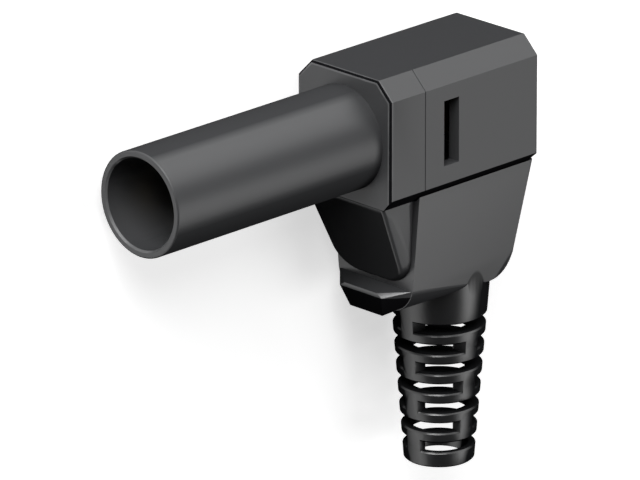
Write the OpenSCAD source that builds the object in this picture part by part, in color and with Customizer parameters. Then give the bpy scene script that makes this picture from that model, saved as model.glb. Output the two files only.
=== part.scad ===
// Right-angled shrouded plug for 4 mm sockets, in millimetres.
// A rigid insulating sleeve stands out of a box-shaped hollow head, and a slide-off cover with a
// slotted bend relief closes the head from below. A turned contact with a bowed spring cage sits in the
// sleeve, and its cross-drilled tail takes the core of a cable that comes up through the bend relief.
// Every piece is drawn upright, sleeve along +X and cable inlet down, and then laid on its side.
// The origin is the point where the sleeve's axis meets the front face of the head.

/* [Sleeve] */
// Outer diameter of the insulating sleeve
sleeve_d = 8.2; // [7.8:0.1:8.4]
// Inner diameter of the sleeve
sleeve_bore_d = 7.0; // [6.8:0.1:7.2]
// Length of the sleeve in front of the head
sleeve_len = 21.2; // [18:0.1:24]
// Rounding of the sleeve's outer rim
rim_round = 0.15; // [0.05:0.05:0.2]
// Chamfer inside the mouth of the sleeve
mouth_chamfer = 0.15; // [0.05:0.05:0.2]

/* [Head] */
// Length of the head along the sleeve's axis
head_len = 15.9; // [15:0.1:18]
// Width of the head
head_w = 9.8; // [9.2:0.1:11]
// Height of the head's top above the sleeve's axis
head_top = 5.2; // [4.9:0.1:6]
// Depth of the head's underside below the sleeve's axis
head_drop = 4.9; // [4.6:0.1:5.2]
// Chamfer along the two long top edges
top_chamfer = 1.4; // [0.8:0.1:1.8]
// How far the bevelled foot of the head steps in at its underside
foot_inset = 0.78; // [0.5:0.02:0.78]
// Height of the bevelled foot
foot_rise = 0.92; // [0.7:0.02:1.2]
// Wall thickness of the head
head_wall = 1.0; // [0.9:0.05:1.2]
// Rounding of the edges round the front and rear faces
edge_round = 0.3; // [0.1:0.05:0.4]
// Width of the window in each side wall
window_w = 1.6; // [1:0.1:2]
// Height of the window, centred on the sleeve's axis
window_h = 5.15; // [4:0.05:6]
// Distance from the front face to the window
window_back = 5.7; // [5:0.1:6]
// Distance from the front face to the parting line round the head
seam_back = 3.7; // [3:0.1:4.5]
// Width of the parting line
seam_w = 0.1; // [0.06:0.02:0.2]
// Depth of the parting line
seam_depth = 0.05; // [0.03:0.01:0.1]

/* [Nose] */
// Depth of the nose's tip below the sleeve's axis
nose_drop = 11.85; // [11:0.05:12.2]
// Angle at which the nose's face slopes back, in degrees
nose_slope = 24; // [20:1:25]
// Width of the nose across its tip corners
nose_tip_w = 7.3; // [6.5:0.1:7.8]
// Radius of the tip corners
nose_corner = 2.2; // [1.5:0.1:2.6]
// Radius of the bend below the front face
nose_bend = 1.6; // [1:0.1:2]
// Rounding of the nose's edges
nose_round = 0.3; // [0.15:0.05:0.4]
// Wall thickness of the hollow nose
nose_wall = 1.0; // [0.8:0.05:1.2]

/* [Cover] */
// Distance from the head's front face to the cover's front wall
cover_front = 3.41; // [3.2:0.01:3.8]
// Width of the cover at its rim
cover_rim_w = 9.2; // [9:0.05:9.4]
// Width of the cover just above its round bottom edges
cover_foot_w = 7.9; // [7.8:0.1:8.8]
// Depth of the cover's bottom below the sleeve's axis, at its front
cover_bottom = 14.3; // [14:0.1:15]
// How far the cover's bottom rises towards the rear
cover_rise = 0.65; // [0.2:0.05:0.9]
// Step from the head's rear face in to the cover's rear wall at the rim
cover_rear_step = 0.15; // [0.1:0.05:0.4]
// How far the rear wall leans in from the rim to the round bottom edge
cover_rear_lean = 1.15; // [0.8:0.1:1.8]
// Radius of the cover's upright rear corners
cover_corner = 0.3; // [0.2:0.05:0.6]
// Radius of the cover's bottom edges
cover_round = 2.6; // [1.8:0.1:2.8]
// Wall thickness of the cover
cover_wall = 1.0; // [0.8:0.05:1.2]
// Thickness of the cover's floor round the bend relief
cover_floor = 2.2; // [1.8:0.1:2.4]
// Height of the head's foot that stays in view above the rim
foot_show = 0.57; // [0.4:0.01:0.6]
// Gap between the cover and the head
slide_gap = 0.1; // [0.06:0.01:0.15]

/* [Cover arms] */
// Width of each guide arm
arm_w = 4.4; // [3:0.1:5]
// Thickness of each guide arm
arm_t = 0.75; // [0.6:0.05:0.9]
// Reach of the arms above the head's underside
arm_reach = 4.4; // [3:0.1:6]
// Length of each arm's root along the cover's wall
arm_root = 3.5; // [2:0.1:5]

/* [Thumb lip] */
// Gap between the nose's tip and the lip
lip_gap = 0.35; // [0.2:0.05:0.6]
// Distance from the head's front face to the lip's front edge
lip_front = 1.8; // [1.2:0.05:2.2]
// Width of the lip's flat top
lip_flat_w = 3.4; // [2.5:0.1:4]
// Width of the lip across its front corners
lip_tip_w = 4.4; // [4.2:0.1:5.2]
// Chamfer of the lip's front corners
lip_cut = 0.34; // [0.1:0.02:0.5]
// Width of the lip's top where it leaves the cover
lip_back_w = 7.6; // [6.4:0.1:7.7]
// Angle over which the lip's ends follow the cover's round bottom edges, in degrees
lip_wrap = 66; // [40:2:70]
// Step from the cover's round bottom edges in to the lip's ends
lip_step = 0.05; // [0.02:0.01:0.1]
// Fall of the lip's top towards its front edge
lip_fall = 0.27; // [0.1:0.01:0.4]
// Drop of the bevelled shoulders beside the flat top, at the front corners
lip_shoulder = 0.32; // [0.2:0.02:0.5]
// Drop of the shoulders where the lip leaves the cover
lip_root_drop = 0.06; // [0.02:0.02:0.3]
// How far the lip's front face leans back at its bottom
lip_rake = 0.6; // [0.3:0.05:1]
// How far the lip hangs below the cover's bottom
lip_hang = 0.15; // [0:0.05:0.3]

/* [Bend relief] */
// Distance from the head's front face to the bend relief's axis
relief_back = 10.3; // [9.9:0.1:10.7]
// Diameter of the neck at the cover's bottom
relief_top_d = 7.6; // [6.8:0.05:7.7]
// Diameter at the open end
relief_end_d = 5.4; // [5.1:0.1:6]
// Depth of the open end below the sleeve's axis
relief_end = 28.3; // [26:0.1:32]
// Diameter of the bore round the cable
relief_bore_d = 4.45; // [4.4:0.05:4.6]
// Diameter of the closer bore at the open end
end_bore_d = 4.1; // [3.6:0.05:4.1]
// Depth of the first slot's middle below the sleeve's axis
slot_first = 16.87; // [16.4:0.01:17.4]
// Number of slot levels
slot_count = 7; // [5:1:8]
// Height of each slot
slot_h = 0.83; // [0.5:0.01:0.9]
// Height of the ring at the open end
end_ring = 1.23; // [0.9:0.01:1.6]
// Width of the webs that join the rings
web_w = 1.25; // [0.8:0.05:1.6]
// Chamfer along the slots' outer edges and the open end
slot_flare = 0.12; // [0.04:0.02:0.16]

/* [Contact] */
// Diameter of the contact pin
pin_d = 4.0; // [3.8:0.05:4.1]
// How far the pin's tip stays back inside the sleeve's mouth
pin_recess = 5.2; // [3:0.1:6]
// Radius of the rounded tip
pin_tip_round = 1.5; // [1:0.1:1.8]
// Diameter of the collar at the bottom of the sleeve
collar_d = 6.2; // [5.4:0.1:6.6]
// Thickness of the collar
collar_len = 1.2; // [0.8:0.1:1.6]
// Diameter of the shank that is pressed into the head
shank_d = 4.6; // [4.5:0.05:5]
// Radial room between the shank and its hole
shank_fit = 0.01; // [0.01:0.01:0.03]
// Diameter of the boss round the shank
boss_d = 7.0; // [6.4:0.1:7.6]
// Length of the boss and its wall
boss_len = 3.4; // [2.5:0.1:4.5]
// Diameter of the solder tail
tail_d = 4.4; // [4:0.05:4.45]
// Length of the tail past the cable's axis
tail_past = 2.4; // [2:0.1:3]
// Diameter of the cross hole for the cable's core
core_hole_d = 2.6; // [2:0.1:3]
// Depth of the cross hole from the tail's lower side
core_hole_depth = 3.4; // [2.6:0.1:3.8]
// Chamfer at the tail's end
tail_chamfer = 0.3; // [0.1:0.05:0.5]

/* [Spring cage] */
// End play of the cage in its groove
cage_play = 0.1; // [0.05:0.01:0.2]
// Radial room between the cage and the core of the pin
cage_fit = 0.03; // [0.02:0.01:0.05]
// Diameter of the pin's core under the cage
core_d = 2.9; // [2.6:0.05:3]
// Sheet thickness of the cage
cage_t = 0.25; // [0.15:0.01:0.3]
// Largest diameter of the bowed strips
cage_bow_d = 4.2; // [4.1:0.05:4.4]
// Length of the plain ring at each end of the cage
cage_ring = 1.0; // [0.6:0.1:1.5]
// Number of strips
cage_strips = 8; // [6:2:10]
// Width of the slots between the strips
cage_slot_w = 0.5; // [0.3:0.05:0.6]
// Land on the pin between the collar and the cage's groove
cage_land = 1.5; // [0.8:0.1:2]
// Land on the pin between the cage's groove and the rounded tip
front_land = 0.8; // [0.5:0.1:1.5]

/* [Hidden] */

// Smoothness of turned faces, of blended corners and of arcs in an outline
$fn = 64;
blend_fn = 40;
arc_steps = 6;
bow_steps = 12;
// Overlap of cutters past a face, and thickness of the sheets that a blend spans
over = 0.5;
sheet = 0.01;

head_half = head_w / 2;
foot_half = head_half - foot_inset;
foot_top = head_drop - foot_rise;
cavity_half = head_half - head_wall;
cavity_top = head_top - head_wall;
// A chamfer that keeps the wall even under the chamfered top edges
cavity_chamfer = max(0, top_chamfer - head_wall * (2 - sqrt(2)));

rim_z = -(foot_top + foot_show);
cover_half = cover_rim_w / 2;
cover_foot_half = cover_foot_w / 2;
cover_rear = head_len - cover_rear_step;
cover_foot_rear = cover_rear - cover_rear_lean;
floor_z = -(cover_bottom - cover_floor);
nose_rear = cover_front - slide_gap;
lip_top = -(nose_drop + lip_gap);

relief_r = relief_top_d / 2;
relief_end_r = relief_end_d / 2;
relief_bore_r = relief_bore_d / 2;
end_bore_r = end_bore_d / 2;
// The closer bore ends a little below the last slot
end_bore_z = -relief_end + end_ring - 2 * slot_flare;
slot_last = relief_end - end_ring - slot_h / 2;
slot_pitch = (slot_last - slot_first) / (slot_count - 1);

pin_r = pin_d / 2;
pin_tip = sleeve_len - pin_recess;
tail_end = relief_back + tail_past;
core_r = core_d / 2;
groove_start = collar_len + cage_land;
groove_end = pin_tip - pin_tip_round - front_land;
cage_len = groove_end - groove_start - 2 * cage_play;
cage_ring_r = core_r + cage_fit + cage_t;
cage_rise = cage_bow_d / 2 - cage_ring_r;

plastic_black = [0.13, 0.13, 0.14];
brass = [0.80, 0.66, 0.36];
spring_bronze = [0.78, 0.60, 0.38];

// Direction of a vector
function unit(v) = v / norm(v);

// The arc that rounds the corner b between its neighbours a and c
function corner_arc(a, b, c, r) =
    let (
        u = unit(a - b),
        v = unit(c - b),
        half = acos(u * v) / 2,
        middle = b + unit(u + v) * r / sin(half),
        from = b + u * r / tan(half) - middle,
        start = atan2(from.y, from.x),
        turn = sign(cross(b - a, c - b)) * (180 - 2 * half)
    )
    [for (i = [0 : arc_steps])
        let (angle = start + turn * i / arc_steps)
        middle + r * [cos(angle), sin(angle)]];

// An outline whose corners are rounded, each with its own radius, or kept sharp at radius 0
function rounded(points, radii) =
    let (n = len(points))
    [for (i = [0 : n - 1])
        each radii[i] > 0
            ? corner_arc(points[(i + n - 1) % n], points[i], points[(i + 1) % n], radii[i])
            : [points[i]]];

// A half outline closed by its mirror image in the vertical axis, from the bottom right corner up
function mirrored(half) =
    concat(half, [for (i = [len(half) - 1 : -1 : 0]) [-half[i].x, half[i].y]]);

// Half the head's foot at a given height, between its underside and its top
function foot_half_at(z) = foot_half + foot_inset * (z + head_drop) / foot_rise;

// Radius of the bend relief's tapering outside at a given height
function relief_r_at(z) =
    relief_r + (relief_end_r - relief_r) * (-cover_bottom - z) / (relief_end - cover_bottom);

// Lays an upright piece on its side
module lay() {
    rotate([90, 0, 0])
        children();
}

// Turns a profile of radius and place along the sleeve's axis about that axis
module turned_along_x(profile) {
    rotate([0, 90, 0])
        rotate_extrude()
            polygon(profile);
}

// Runs a cross-section in the YZ plane along X, between two distances behind the front face
module along_x(back_end, front_end) {
    translate([-back_end, 0, 0])
        rotate([90, 0, 90])
            linear_extrude(back_end - front_end)
                children();
}

// Runs a side profile in the XZ plane along Y, centred
module along_y(width) {
    rotate([90, 0, 0])
        linear_extrude(width, center = true)
            children();
}

// The head's cross-section above its foot
function head_section() =
    mirrored([
        [head_half, -foot_top],
        [head_half, head_top - top_chamfer],
        [head_half - top_chamfer, head_top]
    ]);

// The bevelled foot under the head, grown all round where the cover keeps clear of it
module foot(grow) {
    low = -head_drop - grow;
    high = -foot_top + over;
    side = foot_half_at(low + grow) + grow;
    side_high = foot_half_at(high) + grow;
    intersection() {
        along_x(head_len + over, 0)
            polygon([[side, low], [side_high, high], [-side_high, high], [-side, low]]);
        along_y(head_w + 2 * over)
            polygon(rounded(
                [
                    [0, high],
                    [0, -head_drop],
                    [-over * tan(nose_slope), -head_drop - over],
                    [foot_inset - head_len, -head_drop - over],
                    [foot_inset - head_len - grow, low],
                    [head_half - side_high - head_len, high]
                ],
                [0, nose_bend, 0, 0, 0, 0]
            ));
    }
}

// Cuts one edge of the front face to a round: the edge runs from p to q in the YZ plane
module edge_cutter(p, q) {
    run = q - p;
    angle = atan2(-run.x, run.y);
    translate([0, p.x, p.y])
        rotate([angle, 0, 0])
            translate([-edge_round, -edge_round, -over])
                linear_extrude(norm(run) + 2 * over)
                    difference() {
                        square(edge_round + over);
                        circle(edge_round);
                    }
}

// Rounds the edges of the face at x = 0, apart from the one at the underside
module face_edges() {
    section = head_section();
    for (i = [0 : len(section) - 2])
        edge_cutter(section[i], section[i + 1]);
}

// The head's solid outside
module head_outside() {
    difference() {
        union() {
            along_x(head_len, 0)
                polygon(head_section());
            intersection() {
                foot(0);
                along_x(head_len, 0)
                    polygon([
                        [head_half, -head_drop],
                        [head_half, -foot_top],
                        [-head_half, -foot_top],
                        [-head_half, -head_drop]
                    ]);
            }
        }
        face_edges();
        translate([-head_len, 0, 0])
            mirror([1, 0, 0])
                face_edges();
    }
}

// The fine parting line across the sides and the chamfers
module seam() {
    inner = head_half - seam_depth;
    difference() {
        along_x(seam_back + seam_w / 2, seam_back - seam_w / 2)
            polygon(mirrored([
                [head_half + over, -foot_top],
                [head_half + over, head_top + over],
                [head_half - top_chamfer, head_top + over]
            ]));
        along_x(seam_back + seam_w, seam_back - seam_w)
            polygon(mirrored([
                [inner, -foot_top - over],
                [inner, head_top - top_chamfer],
                [inner - top_chamfer, head_top],
                [inner - top_chamfer, head_top + 2 * over]
            ]));
    }
}

// The hollow of the head, open at the underside, round the boss that holds the contact
module head_cavity() {
    difference() {
        along_x(head_len - head_wall, head_wall)
            polygon(mirrored([
                [cavity_half, -head_drop - over],
                [cavity_half, cavity_top - cavity_chamfer],
                [cavity_half - cavity_chamfer, cavity_top]
            ]));
        rotate([0, -90, 0])
            cylinder(d = boss_d, h = boss_len);
        nose_block();
    }
}

// What the cavity leaves standing in front of the cover, above the nose
module nose_block() {
    translate([-nose_rear, -head_half, -head_drop - 2 * over])
        cube([nose_rear, head_w, 2 * over + head_wall]);
}

// A round disc with rounded rims, standing on z = 0
module pebble(r, h) {
    rotate_extrude($fn = blend_fn)
        polygon(rounded([[0, 0], [r, 0], [r, h], [0, h]], [0, nose_round, nose_round, 0]));
}

// The nose: the front face runs on below the head and slopes back to a tip with round corners
module nose() {
    slope_len = (nose_drop - head_drop) / cos(nose_slope);
    corner_down = slope_len - nose_corner;
    corner_out = nose_tip_w / 2 - nose_corner;
    // The slope starts where it touches the bend
    bend_z = -head_drop + nose_bend * tan(nose_slope / 2);
    disc_t = nose_wall;
    difference() {
        hull() {
            translate([-nose_bend, -foot_half, bend_z])
                rotate([-90, 0, 0])
                    pebble(nose_bend, 2 * foot_half);
            for (side = [-1, 1])
                translate([
                    -corner_down * sin(nose_slope),
                    side * corner_out,
                    -head_drop - corner_down * cos(nose_slope)
                ])
                    rotate([0, 90 + nose_slope, 0])
                        translate([0, 0, -disc_t])
                            pebble(nose_corner, disc_t);
            along_x(nose_rear, nose_rear - sheet)
                polygon(rounded(
                    mirrored([[nose_tip_w / 2, -nose_drop], [foot_half, -foot_top]]),
                    [nose_corner, 0, 0, nose_corner]
                ));
        }
        translate([-nose_rear - head_len, -head_half, -cover_bottom])
            cube([head_len, head_w, cover_bottom]);
    }
}

// The hollow behind the nose's face, open towards the cover
module nose_hollow() {
    top = -head_drop + head_wall;
    wall_x = nose_wall / cos(nose_slope);
    depth = (nose_rear - wall_x) / tan(nose_slope);
    start = -nose_wall;
    along_y(nose_tip_w - 2 * nose_wall)
        polygon([
            [-nose_rear - over, top],
            [start, top],
            [start, -head_drop],
            [-nose_rear - over, -head_drop - depth - over / tan(nose_slope)]
        ]);
}

// The insulating sleeve
module sleeve() {
    outer = sleeve_d / 2;
    inner = sleeve_bore_d / 2;
    turned_along_x(rounded(
        [
            [inner, -head_wall / 2],
            [outer, -head_wall / 2],
            [outer, sleeve_len],
            [inner + mouth_chamfer, sleeve_len],
            [inner, sleeve_len - mouth_chamfer]
        ],
        [0, 0, rim_round, 0, 0]
    ));
}

// One window through both side walls
module windows() {
    translate([-window_back - window_w, -head_half - over, -window_h / 2])
        cube([window_w, head_w + 2 * over, window_h]);
}

// Sleeve, head and nose: one hollow moulding
module housing() {
    color(plastic_black)
        lay()
            difference() {
                union() {
                    difference() {
                        union() {
                            head_outside();
                            nose();
                        }
                        head_cavity();
                        nose_hollow();
                        windows();
                        seam();
                    }
                    sleeve();
                }
                rotate([0, -90, 0])
                    translate([0, 0, -over])
                        cylinder(d = shank_d + 2 * shank_fit, h = boss_len + 2 * over);
            }
}

// A tapering tub: a flat rim at z_top, drafted sides and rear, and round lower edges that rise to the rear
module tub(front, rear, foot_rear, half, foot_half_w, z_top, z_bottom, r) {
    middle_z = z_bottom + r;
    corner_x = cover_corner - foot_rear;
    hull() {
        translate([0, 0, z_top - sheet])
            linear_extrude(sheet)
                polygon(rounded(
                    [[-front, half], [-rear, half], [-rear, -half], [-front, -half]],
                    [0, cover_corner, cover_corner, 0]
                ));
        for (side = [-1, 1], end = [[-front, middle_z], [corner_x + sheet, middle_z + cover_rise]])
            translate([end.x, side * (foot_half_w - r), end.y])
                rotate([0, -90, 0])
                    cylinder(r = r, h = sheet, $fn = blend_fn);
        translate([r - foot_rear, 0, middle_z + cover_rise])
            rotate([90, 0, 0])
                cylinder(r = r, h = 2 * (foot_half_w - cover_corner), center = true, $fn = blend_fn);
    }
}

// The faceted lip that a thumb pushes to take the cover off
module lip() {
    flat = lip_flat_w / 2;
    tip_top = lip_top - lip_fall;
    bottom = -cover_bottom - lip_hang;
    wrap_r = cover_round - lip_step;
    wrap_middle = [cover_foot_half - cover_round, cover_round - cover_bottom];
    wrap = [for (i = [0 : arc_steps])
        let (angle = lip_wrap * i / arc_steps)
        wrap_middle + wrap_r * [sin(angle), -cos(angle)]];
    hull() {
        along_x(cover_front + sheet, cover_front)
            polygon(mirrored(concat(
                wrap,
                [[lip_back_w / 2, lip_top - lip_root_drop], [flat, lip_top]]
            )));
        along_x(lip_front + lip_cut + sheet, lip_front + lip_cut)
            polygon(mirrored([
                [lip_tip_w / 2 + lip_cut, tip_top - lip_shoulder],
                [flat, tip_top]
            ]));
        along_x(lip_front + sheet, lip_front)
            polygon(mirrored([
                [lip_tip_w / 2, tip_top - lip_shoulder],
                [flat, tip_top]
            ]));
        along_x(lip_front + lip_rake + sheet, lip_front + lip_rake)
            polygon(mirrored([
                [flat, bottom],
                [flat, tip_top - lip_shoulder]
            ]));
    }
}

// One guide arm, which runs up inside the head's side wall
module arm() {
    top = -head_drop + arm_reach;
    bottom = -head_drop - arm_root;
    outer = cavity_half - slide_gap;
    translate([-relief_back - arm_w / 2, outer - arm_t, bottom])
        cube([arm_w, arm_t, top - bottom]);
}

// One slot level: a ring-shaped cut with flared edges, which leaves two webs opposite each other
module slot(middle) {
    low = middle - slot_h / 2;
    high = middle + slot_h / 2;
    inside = relief_bore_r - over;
    difference() {
        rotate_extrude()
            polygon([
                [inside, low],
                [relief_r_at(low) - slot_flare, low],
                [relief_r_at(low) + over, low - slot_flare - over],
                [relief_r_at(high) + over, high + slot_flare + over],
                [relief_r_at(high) - slot_flare, high],
                [inside, high]
            ]);
        translate([-relief_top_d, -web_w / 2, low - 2 * over])
            cube([2 * relief_top_d, web_w, slot_h + 4 * over]);
    }
}

// The bend relief: a tapering tube with slots that turn a quarter from level to level
module bend_relief() {
    translate([-relief_back, 0, 0])
        difference() {
            rotate_extrude()
                polygon([
                    [end_bore_r, -relief_end],
                    [relief_end_r - slot_flare, -relief_end],
                    [relief_r_at(-relief_end + slot_flare), -relief_end + slot_flare],
                    [relief_r, -cover_bottom],
                    [relief_r, floor_z],
                    [relief_bore_r, floor_z],
                    [relief_bore_r, end_bore_z],
                    [end_bore_r, end_bore_z]
                ]);
            for (i = [0 : slot_count - 1])
                rotate([0, 0, 90 * (i % 2)])
                    slot(-slot_first - i * slot_pitch);
        }
}

// Cover, thumb lip, guide arms and bend relief: one moulding
module cover() {
    color(plastic_black)
        lay()
            difference() {
                union() {
                    difference() {
                        tub(cover_front, cover_rear, cover_foot_rear, cover_half, cover_foot_half,
                            rim_z, -cover_bottom, cover_round);
                        foot(slide_gap);
                        tub(cover_front + cover_wall, cover_rear - cover_wall,
                            cover_foot_rear - cover_wall, cover_half - cover_wall,
                            cover_foot_half - cover_wall, rim_z + over, floor_z,
                            cover_round - cover_wall);
                    }
                    lip();
                    for (side = [0, 1])
                        mirror([0, side, 0])
                            arm();
                    bend_relief();
                }
                translate([-relief_back, 0, -cover_bottom])
                    cylinder(r = relief_bore_r, h = cover_floor + cover_rise + over);
            }
}

// The contact: tip, pin, groove for the cage, collar, shank and solder tail, turned in one piece
module plug_pin() {
    tail_r = tail_d / 2;
    color(brass)
        lay()
            difference() {
                turned_along_x(rounded(
                    [
                        [0, -tail_end],
                        [tail_r - tail_chamfer, -tail_end],
                        [tail_r, -tail_end + tail_chamfer],
                        [tail_r, -boss_len],
                        [shank_d / 2, -boss_len],
                        [shank_d / 2, 0],
                        [collar_d / 2, 0],
                        [collar_d / 2, collar_len],
                        [pin_r, collar_len],
                        [pin_r, groove_start],
                        [core_r, groove_start],
                        [core_r, groove_end],
                        [pin_r, groove_end],
                        [pin_r, pin_tip],
                        [0, pin_tip]
                    ],
                    [0, 0, 0, 0, 0, 0, 0, 0, 0, 0, 0, 0, 0, pin_tip_round, 0]
                ));
                translate([-relief_back, 0, -tail_r - over])
                    cylinder(d = core_hole_d, h = core_hole_depth + over);
            }
}

// The spring cage: two rings joined by strips that bow outwards to grip a socket
module spring_cage() {
    start = groove_start + cage_play;
    bow_start = start + cage_ring;
    bow_len = cage_len - 2 * cage_ring;
    outside = concat(
        [[cage_ring_r, start]],
        [for (i = [0 : bow_steps])
            [cage_ring_r + cage_rise * sin(180 * i / bow_steps), bow_start + bow_len * i / bow_steps]],
        [[cage_ring_r, start + cage_len]]
    );
    inside = [for (i = [len(outside) - 1 : -1 : 0]) [outside[i].x - cage_t, outside[i].y]];
    color(spring_bronze)
        lay()
            difference() {
                turned_along_x(concat(outside, inside));
                for (i = [0 : cage_strips / 2 - 1])
                    rotate([i * 360 / cage_strips, 0, 0])
                        translate([bow_start, -cage_bow_d, -cage_slot_w / 2])
                            cube([bow_len, 2 * cage_bow_d, cage_slot_w]);
            }
}

housing();
cover();
plug_pin();
spring_cage();
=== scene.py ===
"""Looks of a right-angled shrouded plug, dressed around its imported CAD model."""

import logging
import math
from dataclasses import dataclass, field
from enum import Enum
from typing import Any, Optional, Sequence

import bmesh
import bpy
from mathutils import Matrix, Vector


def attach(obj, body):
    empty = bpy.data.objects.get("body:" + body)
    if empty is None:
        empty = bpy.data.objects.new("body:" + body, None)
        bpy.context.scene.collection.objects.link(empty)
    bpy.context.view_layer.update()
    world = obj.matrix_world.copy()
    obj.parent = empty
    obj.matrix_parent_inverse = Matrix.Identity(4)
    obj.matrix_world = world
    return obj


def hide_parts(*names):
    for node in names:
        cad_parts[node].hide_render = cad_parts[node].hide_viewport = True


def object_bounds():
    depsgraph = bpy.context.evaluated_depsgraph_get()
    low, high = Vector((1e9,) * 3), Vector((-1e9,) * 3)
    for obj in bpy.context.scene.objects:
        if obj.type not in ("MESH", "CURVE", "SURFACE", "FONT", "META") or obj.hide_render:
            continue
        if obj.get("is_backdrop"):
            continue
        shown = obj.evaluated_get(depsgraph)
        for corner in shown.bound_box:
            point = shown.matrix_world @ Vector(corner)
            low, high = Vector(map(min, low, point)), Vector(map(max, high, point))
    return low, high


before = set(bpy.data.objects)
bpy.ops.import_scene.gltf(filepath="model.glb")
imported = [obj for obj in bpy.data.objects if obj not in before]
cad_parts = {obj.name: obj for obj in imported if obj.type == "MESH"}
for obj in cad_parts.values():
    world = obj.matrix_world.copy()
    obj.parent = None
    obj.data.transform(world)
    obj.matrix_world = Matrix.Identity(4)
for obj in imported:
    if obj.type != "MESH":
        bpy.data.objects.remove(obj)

Color = tuple[float, float, float]
Point = tuple[float, float, float]
Span = tuple[float, float]
Tree = bpy.types.NodeTree
Node = bpy.types.Node
Socket = bpy.types.NodeSocket

MM = 0.001
LOG = logging.getLogger("plug")

FACET_MARK = "facet_tone"
MIX_COLORS = (6, 7)
MIX_RESULT = 2
WHOLE: Span = (0.0, 1.0)
CLOUD_NOISE: Span = (0.3, 0.7)
BREAK_NOISE: Span = (0.35, 0.65)
SLOW_GLOSS = 0.6
FINE_GLOSS = 0.4


class Body(Enum):
    """The rigid bodies that the pieces ride on."""

    PLUG = "plug_body"
    COVER = "cover"


class Slot(Enum):
    """The record's material slots."""

    HOUSING = "housing_plastic"
    COVER = "cover_plastic"
    CONTACT = "contact_brass"
    SPRING = "spring_bronze"


class FacetTone(Enum):
    """What a facet of a moulding or a metal part is marked as."""

    PLAIN = 0.0
    # Outer edge rounds, worn and painted lighter: partly wear, partly a painted highlight.
    RUBBED_AND_HIGHLIT = 0.5
    # Facets painted near-black as painted shade, where shade falls.
    PAINTED_SHADE = 1.0


class ToolPath(Enum):
    """How the fine marks of a metal finish run."""

    ROUND_THE_AXIS = "X"
    ALONG_THE_STRIP = "Y"


# Shader node helpers


def add_node(tree: Tree, kind: str, **values: Any) -> Node:
    """Adds a node and sets its properties and unlinked sockets.

    Args:
        tree: The node tree that takes the node.
        kind: The node's type name.
        **values: Properties by name; a name that starts with "in_" is an input socket's name
            with underscores for spaces.

    Returns:
        The new node.
    """
    node = tree.nodes.new(kind)
    for name, value in values.items():
        if name.startswith("in_"):
            node.inputs[name[3:].replace("_", " ")].default_value = value
        else:
            setattr(node, name, value)
    return node


def feed(tree: Tree, value: Any, socket: Socket) -> None:
    """Links a socket to another one, or sets it to a plain value.

    Args:
        tree: The node tree.
        value: The socket to link, or the value to set.
        socket: The input socket that takes it.
    """
    if isinstance(value, bpy.types.NodeSocket):
        tree.links.new(value, socket)
    else:
        socket.default_value = value


def math_node(tree: Tree, operation: str, first: Any, second: Any) -> Socket:
    """Adds a Math node.

    Args:
        tree: The node tree.
        operation: The node's operation.
        first: A socket or a number.
        second: A socket or a number.

    Returns:
        The node's output socket.
    """
    node = add_node(tree, "ShaderNodeMath", operation=operation)
    for socket, value in zip(node.inputs, (first, second)):
        feed(tree, value, socket)
    return node.outputs[0]


def map_range(tree: Tree, value: Socket, source: Span, target: tuple[Any, Any]) -> Socket:
    """Maps a value from one range to another, held at both ends.

    Args:
        tree: The node tree.
        value: The socket to map.
        source: The range that is read.
        target: The range that is put out; each end is a number or a socket.

    Returns:
        The mapped value's socket.
    """
    node = add_node(tree, "ShaderNodeMapRange", clamp=True)
    tree.links.new(value, node.inputs["Value"])
    for name, end in zip(("From Min", "From Max", "To Min", "To Max"), (*source, *target)):
        feed(tree, end, node.inputs[name])
    return node.outputs["Result"]


def mix_color(tree: Tree, share: Socket, first: Any, second: Any) -> Socket:
    """Mixes two colours.

    Args:
        tree: The node tree.
        share: The share of the second colour.
        first: A colour or a colour socket.
        second: A colour or a colour socket.

    Returns:
        The mixed colour's socket.
    """
    node = add_node(tree, "ShaderNodeMix", data_type="RGBA")
    tree.links.new(share, node.inputs[0])
    for index, value in zip(MIX_COLORS, (first, second)):
        plain = not isinstance(value, bpy.types.NodeSocket)
        feed(tree, (*value, 1.0) if plain else value, node.inputs[index])
    return node.outputs[MIX_RESULT]


def noise(tree: Tree, place: Socket, scale: Socket, **values: float) -> Socket:
    """Adds a Noise Texture node.

    Args:
        tree: The node tree.
        place: The coordinates' socket.
        scale: The scale's socket.
        **values: The node's other values, as for add_node.

    Returns:
        The noise's socket.
    """
    node = add_node(tree, "ShaderNodeTexNoise", **values)
    tree.links.new(place, node.inputs["Vector"])
    tree.links.new(scale, node.inputs["Scale"])
    return node.outputs["Fac"]


def split_place(tree: Tree, place: Socket) -> bpy.types.NodeOutputs:
    """Splits coordinates.

    Args:
        tree: The node tree.
        place: The coordinates' socket.

    Returns:
        The sockets X, Y and Z.
    """
    parts = add_node(tree, "ShaderNodeSeparateXYZ")
    tree.links.new(place, parts.inputs[0])
    return parts.outputs


def start_material(name: str) -> tuple[bpy.types.Material, Tree, Node]:
    """Starts a material.

    Args:
        name: The material's name.

    Returns:
        The material, its node tree and its Principled shader.
    """
    material = bpy.data.materials.new(name)
    material.use_nodes = True
    return material, material.node_tree, material.node_tree.nodes["Principled BSDF"]


def raise_relief(tree: Tree, shader: Node, height: Socket, strength: float, depth: float) -> None:
    """Feeds a height to a shader's normal.

    Args:
        tree: The material's node tree.
        shader: The Principled shader.
        height: The height's socket.
        strength: The Bump node's strength.
        depth: The height's full depth.
    """
    bump = add_node(tree, "ShaderNodeBump", in_Strength=strength, in_Distance=depth)
    tree.links.new(height, bump.inputs["Height"])
    tree.links.new(bump.outputs["Normal"], shader.inputs["Normal"])


def grey(level: float) -> tuple[float, float, float, float]:
    """Gives an opaque grey."""
    return (level, level, level, 1.0)


# Finishes


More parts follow.
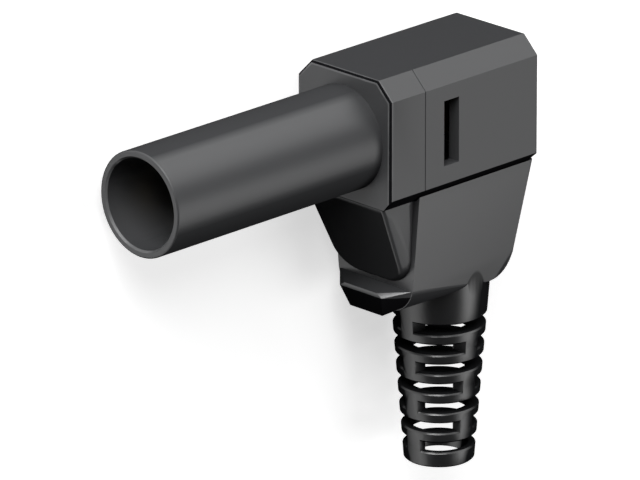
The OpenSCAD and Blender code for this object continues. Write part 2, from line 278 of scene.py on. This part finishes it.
@dataclass(frozen=True)
class Effects:
    """The shader node groups that the finishes share."""

    grain: Tree
    cloud: Tree
    wear_and_painted_light: Tree
    marks: Tree

    @staticmethod
    def _start(
        name: str, inputs: Sequence[tuple[str, float]], outputs: Sequence[str]
    ) -> tuple[Tree, bpy.types.NodeOutputs, bpy.types.NodeInputs, Socket]:
        """Starts a group.

        Args:
            name: The group's name.
            inputs: The input sockets' names and default values.
            outputs: The output sockets' names.

        Returns:
            The group, the sockets that its inputs come from, the sockets that its outputs go to,
            and the object coordinates' socket.
        """
        tree = bpy.data.node_groups.new(name, "ShaderNodeTree")
        for socket, value in inputs:
            made = tree.interface.new_socket(
                socket, in_out="INPUT", socket_type="NodeSocketFloat"
            )
            made.default_value = value
        for socket in outputs:
            tree.interface.new_socket(socket, in_out="OUTPUT", socket_type="NodeSocketFloat")
        source = tree.nodes.new("NodeGroupInput").outputs
        target = tree.nodes.new("NodeGroupOutput").inputs
        place = tree.nodes.new("ShaderNodeTexCoord").outputs["Object"]
        return tree, source, target, place

    @classmethod
    def _grain(cls) -> Tree:
        """Makes the fine spark-eroded grain of a mould, on a soft waviness.

        Returns:
            The group.
        """
        tree, source, target, place = cls._start(
            "mould_grain", (("Fine", 11000.0), ("Broad", 1400.0), ("Waviness", 0.15)), ("Height",)
        )
        fine = noise(tree, place, source["Fine"], in_Detail=2.0, in_Roughness=0.55)
        broad = noise(tree, place, source["Broad"], in_Detail=1.0, in_Roughness=0.55)
        broad = math_node(tree, "MULTIPLY", broad, source["Waviness"])
        tree.links.new(math_node(tree, "ADD", fine, broad), target["Height"])
        return tree

    @classmethod
    def _cloud(cls) -> Tree:
        """Makes the slow change of tint and gloss over a moulded or handled face.

        Returns:
            The group.
        """
        tree, source, target, place = cls._start(
            "slow_cloud", (("Scale", 260.0), ("Speck", 4200.0)), ("Tint", "Gloss")
        )
        slow = noise(
            tree, place, source["Scale"], in_Detail=3.0, in_Roughness=0.5, in_Distortion=0.6
        )
        speck = noise(tree, place, source["Speck"], in_Detail=2.0, in_Roughness=0.6)
        tint = map_range(tree, slow, CLOUD_NOISE, WHOLE)
        fine = map_range(tree, speck, CLOUD_NOISE, WHOLE)
        slow_gloss = math_node(tree, "MULTIPLY", tint, SLOW_GLOSS)
        fine_gloss = math_node(tree, "MULTIPLY", fine, FINE_GLOSS)
        tree.links.new(tint, target["Tint"])
        tree.links.new(math_node(tree, "ADD", slow_gloss, fine_gloss), target["Gloss"])
        return tree

    @classmethod
    def _wear_and_painted_light(cls) -> Tree:
        """Makes the masks of marked facets: edges worn by handling, which the plastic finishes also
        paint lighter as a painted highlight, and facets painted near-black as painted shade.

        Returns:
            The group.
        """
        tree, source, target, place = cls._start(
            "facet_wear_and_painted_light", (("Breaks", 900.0), ("Least", 0.6)), ("RubbedAndHighlight", "PaintedShade")
        )
        tone = add_node(tree, "ShaderNodeAttribute", attribute_name=FACET_MARK).outputs["Fac"]
        plain, rubbed_and_highlight, painted_shade = (kind.value for kind in FacetTone)
        # The painted shade mask (near-black facets), and the mask of worn edges that the plastic
        # also paints lighter as a highlight.
        core = map_range(tree, tone, (rubbed_and_highlight, painted_shade), WHOLE)
        edge = map_range(tree, tone, (plain, rubbed_and_highlight), WHOLE)
        edge = math_node(tree, "SUBTRACT", edge, core)
        breaks = noise(tree, place, source["Breaks"], in_Detail=2.0)
        broken = map_range(tree, breaks, BREAK_NOISE, (source["Least"], 1.0))
        tree.links.new(math_node(tree, "MULTIPLY", edge, broken), target["RubbedAndHighlight"])
        tree.links.new(core, target["PaintedShade"])
        return tree

    @classmethod
    def _marks(cls) -> Tree:
        """Makes the fine ridges that a tool or a roll leaves, across the X axis or along it.

        Returns:
            The group.
        """
        tree, source, target, place = cls._start(
            "tool_marks", (("Across", 1.0), ("Around", 0.0), ("Pitch", 9000.0)), ("Height",)
        )
        parts = split_place(tree, place)
        turn = math_node(tree, "ARCTAN2", parts["Y"], parts["Z"])
        around = math_node(tree, "MULTIPLY", turn, source["Around"])
        across = math_node(tree, "MULTIPLY", parts["X"], source["Across"])
        line = add_node(
            tree, "ShaderNodeTexNoise", noise_dimensions="1D", in_Detail=3.0, in_Roughness=0.7
        )
        tree.links.new(math_node(tree, "ADD", across, around), line.inputs["W"])
        tree.links.new(source["Pitch"], line.inputs["Scale"])
        tree.links.new(line.outputs["Fac"], target["Height"])
        return tree

    @classmethod
    def make(cls) -> "Effects":
        """Builds every group once."""
        return cls(cls._grain(), cls._cloud(), cls._wear_and_painted_light(), cls._marks())


def place_group(
    tree: Tree, group: Tree, values: Optional[dict[str, float]] = None
) -> bpy.types.NodeOutputs:
    """Places a shared group in a material with its own values.

    Args:
        tree: The material's node tree.
        group: The shared group.
        values: Input values by socket name.

    Returns:
        The group's output sockets.
    """
    node = add_node(tree, "ShaderNodeGroup", node_tree=group)
    for name, value in (values or {}).items():
        node.inputs[name].default_value = value
    return node.outputs


@dataclass(frozen=True)
class PolishedNeck:
    """The part of a moulding that is smoother and darker: all that is close to one upright axis."""

    axis_x: float = -10.3 * MM
    radius: float = 3.81 * MM
    fade: float = 0.03 * MM
    start: float = 10.5 * MM
    tint: Color = (0.0125, 0.0128, 0.0137)
    satin: float = 0.96
    satin_fade: Span = (0.28, 0.50)

    def mask(self, tree: Tree) -> Socket:
        """Adds the nodes that find the smoother part.

        Args:
            tree: The material's node tree.

        Returns:
            A socket that is 1 on the polished part and 0 elsewhere.
        """
        parts = split_place(tree, add_node(tree, "ShaderNodeTexCoord").outputs["Object"])
        across = math_node(tree, "SUBTRACT", parts["X"], self.axis_x)
        square_x = math_node(tree, "MULTIPLY", across, across)
        square_z = math_node(tree, "MULTIPLY", parts["Z"], parts["Z"])
        reach = math_node(tree, "POWER", math_node(tree, "ADD", square_x, square_z), 0.5)
        near = map_range(tree, reach, (self.radius, self.radius + self.fade), (1.0, 0.0))
        below = map_range(tree, parts["Y"], (self.start, self.start + self.fade), WHOLE)
        return math_node(tree, "MULTIPLY", near, below)


@dataclass(frozen=True)
class PlasticFinish:
    """Black moulded plastic: satin, finely grained, a little worn along its edges, with painted
    highlights on its outer edge rounds and painted shade on facets where shade falls.
    """

    name: str
    deep: Color = (0.0516, 0.0524, 0.0548)
    pale: Color = (0.0530, 0.0538, 0.0562)
    # Outer edge rounds: paler, partly from wear and partly a painted highlight.
    rubbed_and_highlight: Color = (0.120, 0.121, 0.124)
    # Near-black painted shade on facets where shade falls.
    painted_shade: Color = (0.008, 0.008, 0.009)
    rough: Span = (0.48, 0.52)
    rub_polish: float = 0.08
    specular: float = 0.0
    satin: float = 0.75
    satin_rough: float = 0.42
    satin_ior: float = 1.7
    satin_fade: Span = (0.40, 0.50)
    cloud_scale: float = 90.0
    fine_scale: float = 11000.0
    broad_scale: float = 2600.0
    grain_depth: float = 0.004 * MM
    grain_strength: float = 0.30
    neck: Optional[PolishedNeck] = None

    def make(self, effects: Effects) -> bpy.types.Material:
        """Builds the material.

        Args:
            effects: The shared shader groups.

        Returns:
            The new material.
        """
        material, tree, shader = start_material(self.name)
        shader.inputs["Specular IOR Level"].default_value = self.specular
        shader.inputs["Coat Roughness"].default_value = self.satin_rough
        shader.inputs["Coat IOR"].default_value = self.satin_ior
        cloud = place_group(tree, effects.cloud, {"Scale": self.cloud_scale})
        wear_and_painted_light = place_group(tree, effects.wear_and_painted_light)
        grain = place_group(
            tree, effects.grain, {"Fine": self.fine_scale, "Broad": self.broad_scale}
        )

        base = mix_color(tree, cloud["Tint"], self.deep, self.pale)
        # Edge rounds painted paler as wear and painted highlight; shaded facets painted near-black
        # as painted shade.
        base = mix_color(tree, wear_and_painted_light["RubbedAndHighlight"], base, self.rubbed_and_highlight)
        base = mix_color(tree, wear_and_painted_light["PaintedShade"], base, self.painted_shade)
        rough = map_range(tree, cloud["Gloss"], WHOLE, self.rough)
        polish = math_node(tree, "MULTIPLY", wear_and_painted_light["RubbedAndHighlight"], self.rub_polish)
        rough = math_node(tree, "SUBTRACT", rough, polish)

        facing = add_node(tree, "ShaderNodeLayerWeight", in_Blend=0.5).outputs["Facing"]
        satin = map_range(tree, facing, self.satin_fade, (self.satin, 0.0))
        # No satin on the facets painted as shade.
        outside_painted_shade = math_node(tree, "SUBTRACT", 1.0, wear_and_painted_light["PaintedShade"])
        satin = math_node(tree, "MULTIPLY", satin, outside_painted_shade)
        if self.neck is not None:
            smooth = self.neck.mask(tree)
            base = mix_color(tree, smooth, base, self.neck.tint)
            neck_satin = map_range(tree, facing, self.neck.satin_fade, (self.neck.satin, 0.0))
            change = math_node(tree, "SUBTRACT", neck_satin, satin)
            change = math_node(tree, "MULTIPLY", smooth, change)
            satin = math_node(tree, "ADD", satin, change)

        tree.links.new(base, shader.inputs["Base Color"])
        tree.links.new(rough, shader.inputs["Roughness"])
        tree.links.new(satin, shader.inputs["Coat Weight"])
        raise_relief(tree, shader, grain["Height"], self.grain_strength, self.grain_depth)
        return material


@dataclass(frozen=True)
class MetalFinish:
    """Bare copper alloy with the marks of its tool and a little tarnish."""

    name: str
    bright: Color
    tarnish: Color
    path: ToolPath
    pitch: float
    rough: Span = (0.22, 0.40)
    rough_source: Span = (0.2, 0.8)
    cloud_scale: float = 700.0
    speck_scale: float = 9000.0
    tarnish_most: float = 0.6
    strip_turn: float = 2.0 * MM
    mark_depth: float = 0.004 * MM
    mark_strength: float = 0.4

    def make(self, effects: Effects) -> bpy.types.Material:
        """Builds the material.

        Args:
            effects: The shared shader groups.

        Returns:
            The new material.
        """
        material, tree, shader = start_material(self.name)
        shader.inputs["Metallic"].default_value = 1.0
        cloud = place_group(
            tree, effects.cloud, {"Scale": self.cloud_scale, "Speck": self.speck_scale}
        )
        wear_and_painted_light = place_group(tree, effects.wear_and_painted_light)
        round_axis = self.path is ToolPath.ROUND_THE_AXIS
        across, around = (1.0, 0.0) if round_axis else (0.0, self.strip_turn)
        marks = place_group(
            tree, effects.marks, {"Across": across, "Around": around, "Pitch": self.pitch}
        )

        dull = math_node(tree, "MULTIPLY", cloud["Tint"], self.tarnish_most)
        base = mix_color(tree, dull, self.bright, self.tarnish)
        base = mix_color(tree, wear_and_painted_light["RubbedAndHighlight"], base, self.bright)
        mean = math_node(tree, "ADD", cloud["Gloss"], marks["Height"])
        mean = math_node(tree, "MULTIPLY", mean, 0.5)
        rough = map_range(tree, mean, self.rough_source, self.rough)

        tree.links.new(base, shader.inputs["Base Color"])
        tree.links.new(rough, shader.inputs["Roughness"])
        raise_relief(tree, shader, marks["Height"], self.mark_strength, self.mark_depth)
        return material


# Pieces


@dataclass
class SubAssembly:
    """One physical piece of the plug: its CAD node with softened edges and its finish."""

    node: str
    piece: str
    body: Body
    slot: Slot
    edge_round: float
    sharp_deg: float = 36.0
    crease_deg: float = 20.0
    edge_segments: int = 3
    short_edge: float = 0.1 * MM
    weld: float = 0.0002 * MM
    flat_deg: float = 0.3
    made: Optional[bpy.types.Object] = field(default=None, init=False)

    def build(self) -> bpy.types.Object:
        """Makes the piece from a merged copy of its CAD mesh, with every sharp edge rounded.

        Returns:
            The new piece, which stands for the CAD node.
        """
        shape = bmesh.new()
        shape.from_mesh(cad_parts[self.node].data)
        mark = shape.faces.layers.float.new(FACET_MARK)
        self._merge(shape)
        strips = self._round_edges(shape)
        for face in shape.faces:
            face.smooth = True
            face[mark] = self.facet_tone(face, face in strips).value
        self._crease(shape, strips)
        mesh = bpy.data.meshes.new(self.piece)
        shape.to_mesh(mesh)
        shape.free()
        stale = mesh.attributes.get("custom_normal")
        if stale is not None:
            mesh.attributes.remove(stale)
        self.made = bpy.data.objects.new(self.piece, mesh)
        bpy.context.scene.collection.objects.link(self.made)
        even = self.made.modifiers.new("even_normals", "WEIGHTED_NORMAL")
        even.keep_sharp = True
        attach(self.made, self.body.value)
        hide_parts(self.node)
        return self.made

    def _merge(self, shape: bmesh.types.BMesh) -> None:
        """Joins the loose triangles of the CAD mesh to whole faces.

        Args:
            shape: The copy of the CAD mesh.
        """
        bmesh.ops.remove_doubles(shape, verts=shape.verts, dist=self.weld)
        bmesh.ops.dissolve_degenerate(shape, dist=self.weld, edges=shape.edges)
        bmesh.ops.dissolve_limit(
            shape, angle_limit=math.radians(self.flat_deg), verts=shape.verts, edges=shape.edges
        )

    def _round_edges(self, shape: bmesh.types.BMesh) -> set[bmesh.types.BMFace]:
        """Rounds every sharp edge that is long enough to take it.

        Args:
            shape: The merged copy.

        Returns:
            The strips of facets that round the edges.
        """
        limit = math.radians(self.sharp_deg)
        sharp = [
            edge
            for edge in shape.edges
            if edge.is_manifold
            and edge.calc_face_angle() > limit
            and edge.calc_length() > self.short_edge
        ]
        rounded = bmesh.ops.bevel(
            shape,
            geom=sharp,
            offset=self.edge_round,
            offset_type="OFFSET",
            segments=self.edge_segments,
            profile=0.5,
            affect="EDGES",
            clamp_overlap=True,
            material=-1,
        )
        return set(rounded["faces"])

    def _crease(self, shape: bmesh.types.BMesh, strips: set[bmesh.types.BMFace]) -> None:
        """Keeps the bends crisp that are left beside the rounded edges.

        Args:
            shape: The rounded copy.
            strips: The strips of facets that round the edges.
        """
        on_strip, elsewhere = math.radians(self.sharp_deg), math.radians(self.crease_deg)
        for edge in shape.edges:
            beside = any(face in strips for face in edge.link_faces)
            limit = on_strip if beside else elsewhere
            edge.smooth = not edge.is_manifold or edge.calc_face_angle() < limit

    def facet_tone(self, face: bmesh.types.BMFace, on_strip: bool) -> FacetTone:
        """Says what a facet is marked as.

        Args:
            face: The facet.
            on_strip: Whether it belongs to the rounding of a sharp edge.

        Returns:
            The mark; the rounding of an outer edge is worn, and the plastic finishes paint it
            lighter as a painted highlight; that of an inner edge is plain.
        """
        bend = sum(edge.calc_face_angle_signed(0.0) for edge in face.edges)
        # Outer edge rounds are marked as worn and, on the plastic, painted lighter as a highlight.
        return FacetTone.RUBBED_AND_HIGHLIT if on_strip and bend > 0.0 else FacetTone.PLAIN

    def dress(self, material: bpy.types.Material) -> None:
        """Gives the piece its finish.

        Args:
            material: The finish.
        """
        mesh = self.made.data
        mesh.materials.clear()
        mesh.materials.append(material)
        LOG.info("%s: %d faces, %s", self.piece, len(mesh.polygons), material.name)


@dataclass
class Housing(SubAssembly):
    """Sleeve, head and nose, one hollow moulding."""

    node: str = "housing"
    piece: str = "housing_moulding"
    body: Body = Body.PLUG
    slot: Slot = Slot.HOUSING
    edge_round: float = 0.07 * MM
    head_ends: tuple[float, float] = (0.0, -15.9 * MM)
    head_round: float = 0.3 * MM
    head_foot: float = 4.2 * MM
    sleeve_reach: float = 4.4 * MM
    foot_slope: Span = (0.5, 0.9)
    foot_start: float = 3.4 * MM
    foot_side: float = 4.4 * MM
    foot_rear: float = -15.5 * MM
    mouth: float = 21.2 * MM
    mouth_edge: float = 0.3 * MM
    # Turns from the X axis: within the first range a head-end round is painted shade, within the
    # second a facet is marked at all, and past the third the mouth's edge is painted shade.
    painted_shade_deg: Span = (23.0, 67.0)
    marked_deg: Span = (4.0, 86.0)
    mouth_painted_shade_deg: float = 50.0

    def facet_tone(self, face: bmesh.types.BMFace, on_strip: bool) -> FacetTone:
        """Marks the rounds at the head's ends, the bevel under it and the mouth's inner edge too:
        painted shade along the middle of each round, on the bevel and where the mouth's edge turns
        into the bore, and a painted highlight on the rest of these rounds.

        Args:
            face: The facet.
            on_strip: Whether it belongs to the rounding of a sharp edge.

        Returns:
            The mark.
        """
        spot, normal = face.calc_center_median(), face.normal
        turn = math.degrees(math.acos(min(1.0, abs(normal.x))))
        bent = self.marked_deg[0] < turn < self.marked_deg[1]

        # The rounds at the head's ends: painted shade along the middle of each round, a painted
        # highlight on either side of it.
        at_end = min(abs(spot.x - end) for end in self.head_ends) < self.head_round
        beside_sleeve = math.hypot(spot.y, spot.z) > self.sleeve_reach
        if at_end and beside_sleeve and spot.y < self.head_foot and bent:
            middle = self.painted_shade_deg[0] < turn < self.painted_shade_deg[1]
            return FacetTone.PAINTED_SHADE if middle else FacetTone.RUBBED_AND_HIGHLIT

        # The bevel under the head is painted near-black as painted shade.
        sloped = self.foot_slope[0] < normal.y < self.foot_slope[1]
        outside = abs(spot.z) > self.foot_side or spot.x < self.foot_rear
        if sloped and outside and spot.y > self.foot_start and not on_strip:
            return FacetTone.PAINTED_SHADE

        # The mouth's inner edge round: painted shade where it turns into the bore, a painted
        # highlight nearer the mouth's face.
        inward = normal.y * spot.y + normal.z * spot.z < 0.0
        if spot.x > self.mouth - self.mouth_edge and inward and bent:
            deep = turn > self.mouth_painted_shade_deg
            return FacetTone.PAINTED_SHADE if deep else FacetTone.RUBBED_AND_HIGHLIT
        return super().facet_tone(face, on_strip)


@dataclass
class Cover(SubAssembly):
    """Lower cover with thumb lip, guide arms and slotted bend relief, one moulding."""

    node: str = "cover"
    piece: str = "cover_moulding"
    body: Body = Body.COVER
    slot: Slot = Slot.COVER
    edge_round: float = 0.06 * MM
    crease_deg: float = 14.0
    lip_back: float = -3.3 * MM
    lip_forward: float = 0.4
    lip_down: float = 0.3

    def facet_tone(self, face: bmesh.types.BMFace, on_strip: bool) -> FacetTone:
        """Marks the slopes under the thumb lip too, as painted shade.

        Args:
            face: The facet.
            on_strip: Whether it belongs to the rounding of a sharp edge.

        Returns:
            The mark.
        """
        normal = face.normal
        on_lip = not on_strip and face.calc_center_median().x > self.lip_back
        # The slopes under the thumb lip are painted near-black as painted shade.
        if on_lip and normal.x > self.lip_forward and normal.y > self.lip_down:
            return FacetTone.PAINTED_SHADE
        return super().facet_tone(face, on_strip)


@dataclass
class Contact(SubAssembly):
    """The turned contact with its solder tail."""

    node: str = "plug_pin"
    piece: str = "turned_contact"
    body: Body = Body.PLUG
    slot: Slot = Slot.CONTACT
    edge_round: float = 0.05 * MM


@dataclass
class SpringCage(SubAssembly):
    """The bowed spring cage on the contact."""

    node: str = "spring_cage"
    piece: str = "bowed_cage"
    body: Body = Body.PLUG
    slot: Slot = Slot.SPRING
    edge_round: float = 0.03 * MM


# Floor, light and camera


@dataclass(frozen=True)
class SoftBox:
    """One soft lamp, by the direction it comes from."""

    name: str
    toward: Point
    level: float
    width: float
    distance: float = 0.5

    def hang(self) -> None:
        """Makes the lamp; a level of 1 lights a facing white surface to white."""
        data = bpy.data.lights.new(self.name, "AREA")
        data.shape = "DISK"
        data.size = self.width
        data.energy = self.level * (math.pi * self.distance) ** 2
        lamp = bpy.data.objects.new(self.name, data)
        way = Vector(self.toward).normalized()
        turn = way.to_track_quat("Z", "Y").to_matrix().to_4x4()
        lamp.matrix_world = Matrix.Translation(way * self.distance) @ turn
        bpy.context.scene.collection.objects.link(lamp)


@dataclass(frozen=True)
class Studio:
    """The pale floor, the lamps and the camera at the photograph's angle."""

    floor_half: float = 3.0
    floor_tint: float = 0.90
    floor_glow: float = 0.60
    floor_bounce: float = 0.20
    ambient: float = 0.04
    lamps: tuple[SoftBox, ...] = (
        SoftBox("front_lamp", (0.50, -0.85, 0.16), 0.80, 0.30),
        SoftBox("high_lamp", (0.50, -0.69, 0.53), 0.48, 0.30),
        SoftBox("rear_lamp", (-0.56, -0.76, 0.32), 0.40, 0.46),
        SoftBox("side_lamp", (-0.50, 0.31, 0.81), 0.28, 0.36),
    )
    back: Point = (0.670, -0.3305, 0.665)
    right: Point = (-0.7034, 0.0, 0.7108)
    eye: float = 0.7
    aim_right: float = -1.763 * MM
    aim_up: float = -7.703 * MM
    lens: float = 528.3
    sensor: float = 36.0
    sight: float = 10.0

    def lay_floor(self, level: float) -> None:
        """Lays the floor.

        Args:
            level: The floor's height, where the plug rests.
        """
        shape = bmesh.new()
        bmesh.ops.create_grid(shape, x_segments=1, y_segments=1, size=self.floor_half)
        bmesh.ops.translate(shape, verts=shape.verts, vec=(0.0, 0.0, level))
        mesh = bpy.data.meshes.new("floor")
        shape.to_mesh(mesh)
        shape.free()
        floor = bpy.data.objects.new("floor", mesh)
        bpy.context.scene.collection.objects.link(floor)
        mesh.materials.append(self._floor_finish())
        floor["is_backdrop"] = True

    def _floor_finish(self) -> bpy.types.Material:
        """Makes the floor's finish: pale to the eye, dimmer in the light it throws back.

        Returns:
            The new material.
        """
        material, tree, _ = start_material("pale_floor")
        tree.nodes.clear()
        path = add_node(tree, "ShaderNodeLightPath").outputs
        seen = math_node(tree, "MAXIMUM", path["Is Camera Ray"], path["Is Glossy Ray"])
        seen = math_node(tree, "MAXIMUM", seen, path["Is Transmission Ray"])
        dim = add_node(tree, "ShaderNodeBsdfDiffuse", in_Color=grey(self.floor_bounce))
        pale = add_node(tree, "ShaderNodeBsdfDiffuse", in_Color=grey(self.floor_tint))
        glow = add_node(tree, "ShaderNodeEmission", in_Strength=self.floor_glow)
        both = add_node(tree, "ShaderNodeAddShader")
        mix = add_node(tree, "ShaderNodeMixShader")
        last = add_node(tree, "ShaderNodeOutputMaterial")
        tree.links.new(pale.outputs[0], both.inputs[0])
        tree.links.new(glow.outputs[0], both.inputs[1])
        tree.links.new(seen, mix.inputs[0])
        tree.links.new(dim.outputs[0], mix.inputs[1])
        tree.links.new(both.outputs[0], mix.inputs[2])
        tree.links.new(mix.outputs[0], last.inputs["Surface"])
        return material

    def light(self) -> None:
        """Hangs the lamps and sets the dim even light of the room."""
        for lamp in self.lamps:
            lamp.hang()
        world = bpy.data.worlds.new("room")
        world.use_nodes = True
        room = world.node_tree.nodes["Background"].inputs
        room["Color"].default_value = grey(1.0)
        room["Strength"].default_value = self.ambient
        bpy.context.scene.world = world
        bpy.context.scene.view_settings.view_transform = "Standard"

    def set_camera(self) -> None:
        """Sets the camera at the photograph's viewing angle."""
        right = Vector(self.right).normalized()
        back = Vector(self.back).normalized()
        up = back.cross(right)
        place = back * self.eye
        aim = right * self.aim_right + up * self.aim_up
        look = (place - aim).normalized()
        side = up.cross(look).normalized()
        rise = look.cross(side)
        turn = Matrix((side, rise, look)).transposed().to_4x4()
        data = bpy.data.cameras.new("view")
        data.lens = self.lens
        data.sensor_width = self.sensor
        data.clip_end = self.sight
        camera = bpy.data.objects.new("view", data)
        camera.matrix_world = Matrix.Translation(place) @ turn
        bpy.context.scene.collection.objects.link(camera)
        bpy.context.scene.camera = camera


def main() -> None:
    """Builds the plug, its floor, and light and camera."""
    logging.basicConfig(level=logging.INFO, format="%(name)s: %(message)s")
    cad_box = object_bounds()
    effects = Effects.make()
    black = PlasticFinish("black_satin_plastic")
    relief_black = PlasticFinish(
        "black_relief_plastic",
        satin=0.93,
        satin_rough=0.36,
        satin_ior=1.85,
        satin_fade=(0.36, 0.50),
        neck=PolishedNeck(),
    )
    brass = MetalFinish(
        "turned_brass",
        bright=(0.80, 0.62, 0.30),
        tarnish=(0.56, 0.38, 0.16),
        path=ToolPath.ROUND_THE_AXIS,
        pitch=9000.0,
    )
    bronze = MetalFinish(
        "rolled_bronze",
        bright=(0.76, 0.55, 0.32),
        tarnish=(0.50, 0.32, 0.17),
        path=ToolPath.ALONG_THE_STRIP,
        pitch=14000.0,
    )
    parts = (Housing(), Cover(), Contact(), SpringCage())
    for part, finish in zip(parts, (black, relief_black, brass, bronze)):
        part.build()
        part.dress(finish.make(effects))
    studio = Studio()
    studio.lay_floor(cad_box[0][2])
    studio.light()
    studio.set_camera()


if __name__ == "__main__":
    main()
